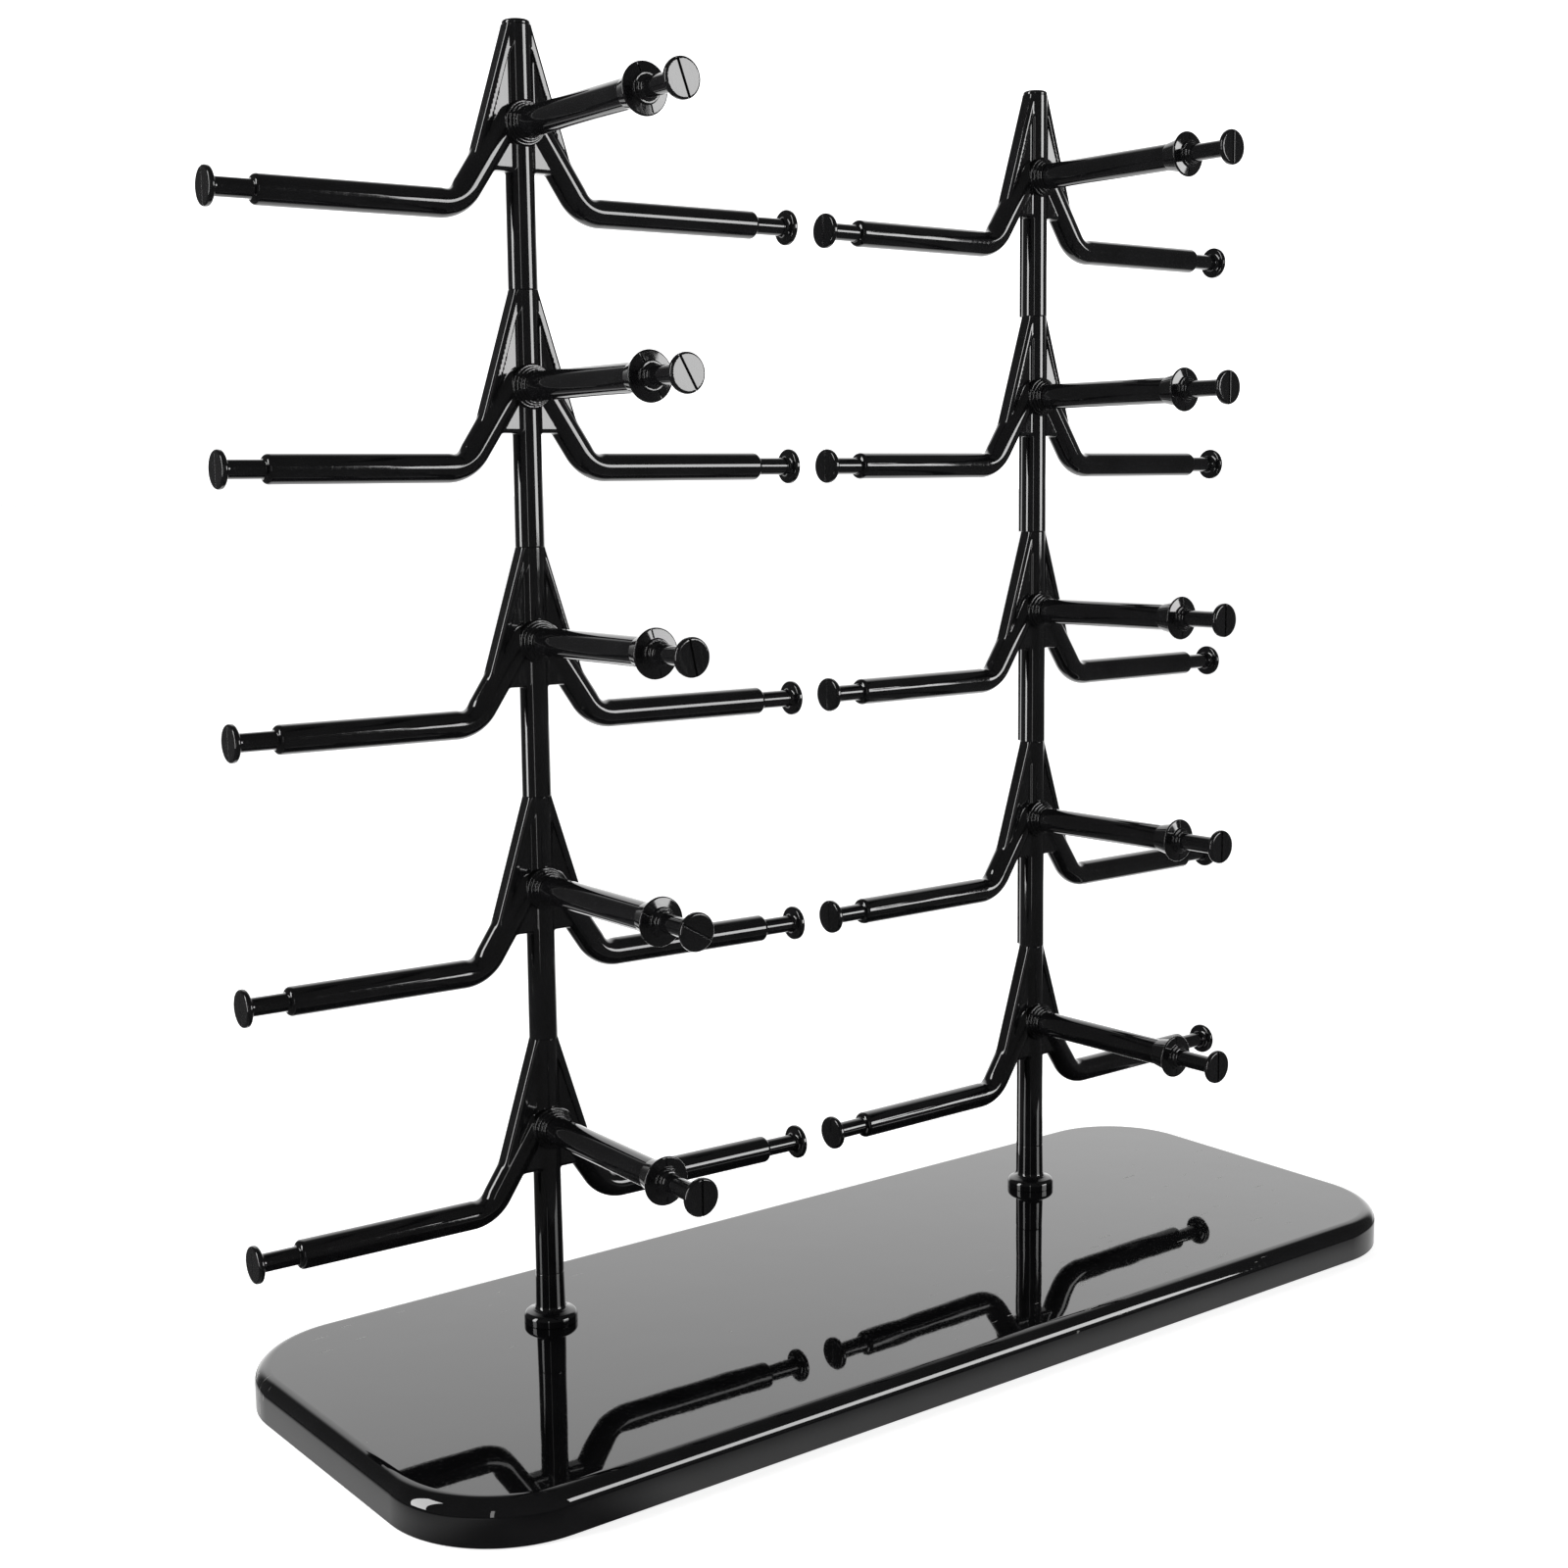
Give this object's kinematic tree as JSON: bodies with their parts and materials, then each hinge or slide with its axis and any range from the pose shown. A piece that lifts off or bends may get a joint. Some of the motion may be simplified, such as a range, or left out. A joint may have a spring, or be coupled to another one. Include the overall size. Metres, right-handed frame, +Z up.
{
  "type": "eyeglasses display stand",
  "caption": "Free-standing eyeglasses display stand: two posts on a rounded oblong base carry tiers of bent arms for the temples and round forward pegs for the bridge.",
  "frame": {"origin": "centre of the base's footprint, on the surface it stands on", "axes": "+X along the base's long side towards the right-hand column, -Y the front that the pegs point to, +Z up"},
  "size_m": [0.427, 0.1584, 0.4327],
  "materials": {
    "base": "mirror-gloss black injection-moulded plastic",
    "columns": "glossy black injection-moulded plastic",
    "pegs": "glossy black injection-moulded plastic",
    "pads": "matt black rubber",
    "screws": "zinc-plated steel"
  },
  "bodies": {
    "stand": {"base_shell": "base", "foot_pad_front_left": "pads", "foot_pad_rear_left": "pads", "foot_pad_front_right": "pads", "foot_pad_rear_right": "pads", "column_screw_left": "screws", "column_screw_right": "screws", "column_foot_left": "columns", "column_foot_right": "columns", "tier_frame_left_1": "columns", "tier_frame_left_2": "columns", "tier_frame_left_3": "columns", "tier_frame_left_4": "columns", "tier_frame_left_5": "columns", "tier_frame_right_1": "columns", "tier_frame_right_2": "columns", "tier_frame_right_3": "columns", "tier_frame_right_4": "columns", "tier_frame_right_5": "columns", "top_cap_left": "columns", "top_cap_right": "columns"},
    "peg_left_1": {"peg_left_1": "pegs"},
    "peg_left_2": {"peg_left_2": "pegs"},
    "peg_left_3": {"peg_left_3": "pegs"},
    "peg_left_4": {"peg_left_4": "pegs"},
    "peg_left_5": {"peg_left_5": "pegs"},
    "peg_right_1": {"peg_right_1": "pegs"},
    "peg_right_2": {"peg_right_2": "pegs"},
    "peg_right_3": {"peg_right_3": "pegs"},
    "peg_right_4": {"peg_right_4": "pegs"},
    "peg_right_5": {"peg_right_5": "pegs"}
  },
  "joints": [
    {"name": "peg_left_1_turn", "type": "hinge", "parent": "stand", "child": "peg_left_1", "pos_m": [-0.11035, 0.031, 0.4014], "axis": [-0.0283, -0.9996, 0], "continuous": true},
    {"name": "peg_left_2_turn", "type": "hinge", "parent": "stand", "child": "peg_left_2", "pos_m": [-0.11035, 0.031, 0.3214], "axis": [-0.0283, -0.9996, 0], "continuous": true},
    {"name": "peg_left_3_turn", "type": "hinge", "parent": "stand", "child": "peg_left_3", "pos_m": [-0.11035, 0.031, 0.2414], "axis": [-0.0283, -0.9996, 0], "continuous": true},
    {"name": "peg_left_4_turn", "type": "hinge", "parent": "stand", "child": "peg_left_4", "pos_m": [-0.11035, 0.031, 0.1614], "axis": [-0.0283, -0.9996, 0], "continuous": true},
    {"name": "peg_left_5_turn", "type": "hinge", "parent": "stand", "child": "peg_left_5", "pos_m": [-0.11035, 0.031, 0.0814], "axis": [-0.0283, -0.9996, 0], "continuous": true},
    {"name": "peg_right_1_turn", "type": "hinge", "parent": "stand", "child": "peg_right_1", "pos_m": [0.11035, 0.031, 0.4014], "axis": [0.0283, -0.9996, 0], "continuous": true},
    {"name": "peg_right_2_turn", "type": "hinge", "parent": "stand", "child": "peg_right_2", "pos_m": [0.11035, 0.031, 0.3214], "axis": [0.0283, -0.9996, 0], "continuous": true},
    {"name": "peg_right_3_turn", "type": "hinge", "parent": "stand", "child": "peg_right_3", "pos_m": [0.11035, 0.031, 0.2414], "axis": [0.0283, -0.9996, 0], "continuous": true},
    {"name": "peg_right_4_turn", "type": "hinge", "parent": "stand", "child": "peg_right_4", "pos_m": [0.11035, 0.031, 0.1614], "axis": [0.0283, -0.9996, 0], "continuous": true},
    {"name": "peg_right_5_turn", "type": "hinge", "parent": "stand", "child": "peg_right_5", "pos_m": [0.11035, 0.031, 0.0814], "axis": [0.0283, -0.9996, 0], "continuous": true}
  ]
}
